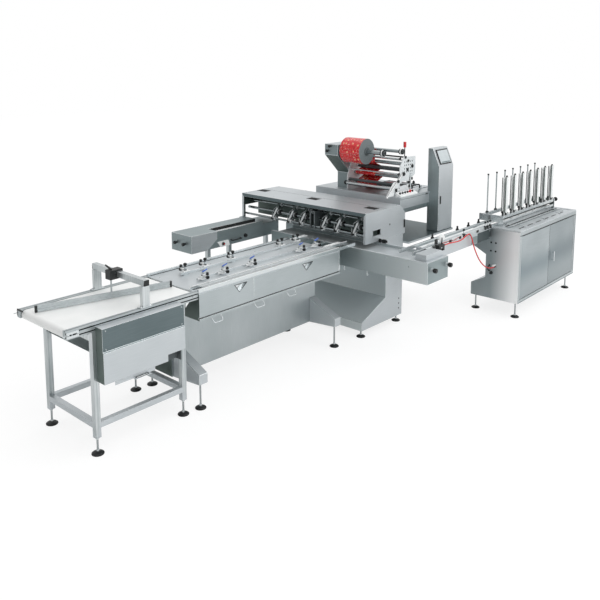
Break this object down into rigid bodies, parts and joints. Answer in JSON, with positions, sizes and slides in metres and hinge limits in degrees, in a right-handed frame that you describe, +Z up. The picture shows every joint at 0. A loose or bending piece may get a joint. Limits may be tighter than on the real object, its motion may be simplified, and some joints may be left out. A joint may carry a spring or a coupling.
{
  "type": "tray loading line",
  "caption": "Tray loading and packing line: belt infeed, lane feeder, covered cross conveyor, flow wrapper with film unwind, and a tray dispenser on feet.",
  "frame": {"origin": "on the floor, under the middle of the whole line's bounding box", "axes": "+X along the product flow from the infeed table to the tray dispenser, +Y away from the operator side, +Z up"},
  "size_m": [5.866, 2.5, 1.781],
  "materials": {
    "satin_sheet": "satin ground stainless sheet",
    "guard_sheet": "satin ground stainless sheet, darker grain",
    "tube_steel": "brushed stainless steel",
    "bright_steel": "bright rolled stainless steel",
    "shaft_chrome": "polished",
    "aluminium": "clear anodised",
    "motor_grey": "dark grey cast housing",
    "belt_white": "smooth food-grade belt, white",
    "black_plastic": "black moulded plastic",
    "blue_plastic": "blue moulded plastic",
    "red_hose": "red air hose",
    "red_film": "red printed packaging film",
    "clear_plastic": "clear sheet",
    "screen_glass": "dark screen with a thin bezel"
  },
  "bodies": {
    "line": {"air_fittings": "black_plastic", "air_hose": "red_hose", "base_body": "satin_sheet", "belt_gearmotor": "motor_grey", "button_console": "satin_sheet", "clamping_knobs": "black_plastic", "clear_strip": "clear_plastic", "control_column": "satin_sheet", "control_screen": "screen_glass", "cross_housing": "satin_sheet", "cross_trough": "satin_sheet", "dispenser_cabinet": "satin_sheet", "dispenser_counter": "bright_steel", "divider_caps": "black_plastic", "divider_guide": "aluminium", "drive_guard": "guard_sheet", "feeder_base": "satin_sheet", "feeder_deck": "bright_steel", "feeder_housing": "satin_sheet", "feeder_outriggers": "satin_sheet", "feeder_rails": "bright_steel", "film_bracket": "satin_sheet", "film_rollers": "aluminium", "film_web": "red_film", "gantry": "aluminium", "gantry_clamp": "black_plastic", "guide_levers": "blue_plastic", "infeed_belt": "belt_white", "infeed_rails": "aluminium", "infeed_rollers": "tube_steel", "infeed_stand": "tube_steel", "lane_guides": "bright_steel", "levelling_feet": "tube_steel", "magazine_frame": "aluminium", "release_lever": "guard_sheet", "side_conveyor": "satin_sheet", "side_conveyor_legs": "satin_sheet", "side_switch_plate": "satin_sheet", "transfer_bars": "shaft_chrome", "transfer_carriage": "black_plastic", "transfer_clamps": "aluminium", "tray_conveyor": "satin_sheet", "tray_guide_rods": "tube_steel", "tray_guides": "bright_steel", "tray_rails": "bright_steel", "trough_end_guard": "bright_steel", "unwind_plates": "satin_sheet", "wrapper_bed": "bright_steel", "wrapper_body": "satin_sheet", "wrapper_cabinet": "satin_sheet"},
    "film_reel": {"film_roll": "red_film", "film_mandrel": "shaft_chrome"},
    "splice_reel": {"splice_shaft": "shaft_chrome"},
    "left_door": {"door_left": "satin_sheet"},
    "right_door": {"door_right": "satin_sheet"}
  },
  "joints": [
    {"name": "film_spin", "type": "hinge", "parent": "line", "child": "film_reel", "pos_m": [0.686, 0.22, 1.65], "axis": [0, 1, 0], "continuous": true},
    {"name": "splice_spin", "type": "hinge", "parent": "line", "child": "splice_reel", "pos_m": [0.848, 0.08, 1.66], "axis": [0, 1, 0], "continuous": true},
    {"name": "left_door_hinge", "type": "hinge", "parent": "line", "child": "left_door", "pos_m": [1.518, -1.21, 0.5125], "axis": [0, 0, -1], "range_deg": [0, 90]},
    {"name": "right_door_hinge", "type": "hinge", "parent": "line", "child": "right_door", "pos_m": [2.844, -1.21, 0.5125], "axis": [0, 0, 1], "range_deg": [0, 90]}
  ]
}
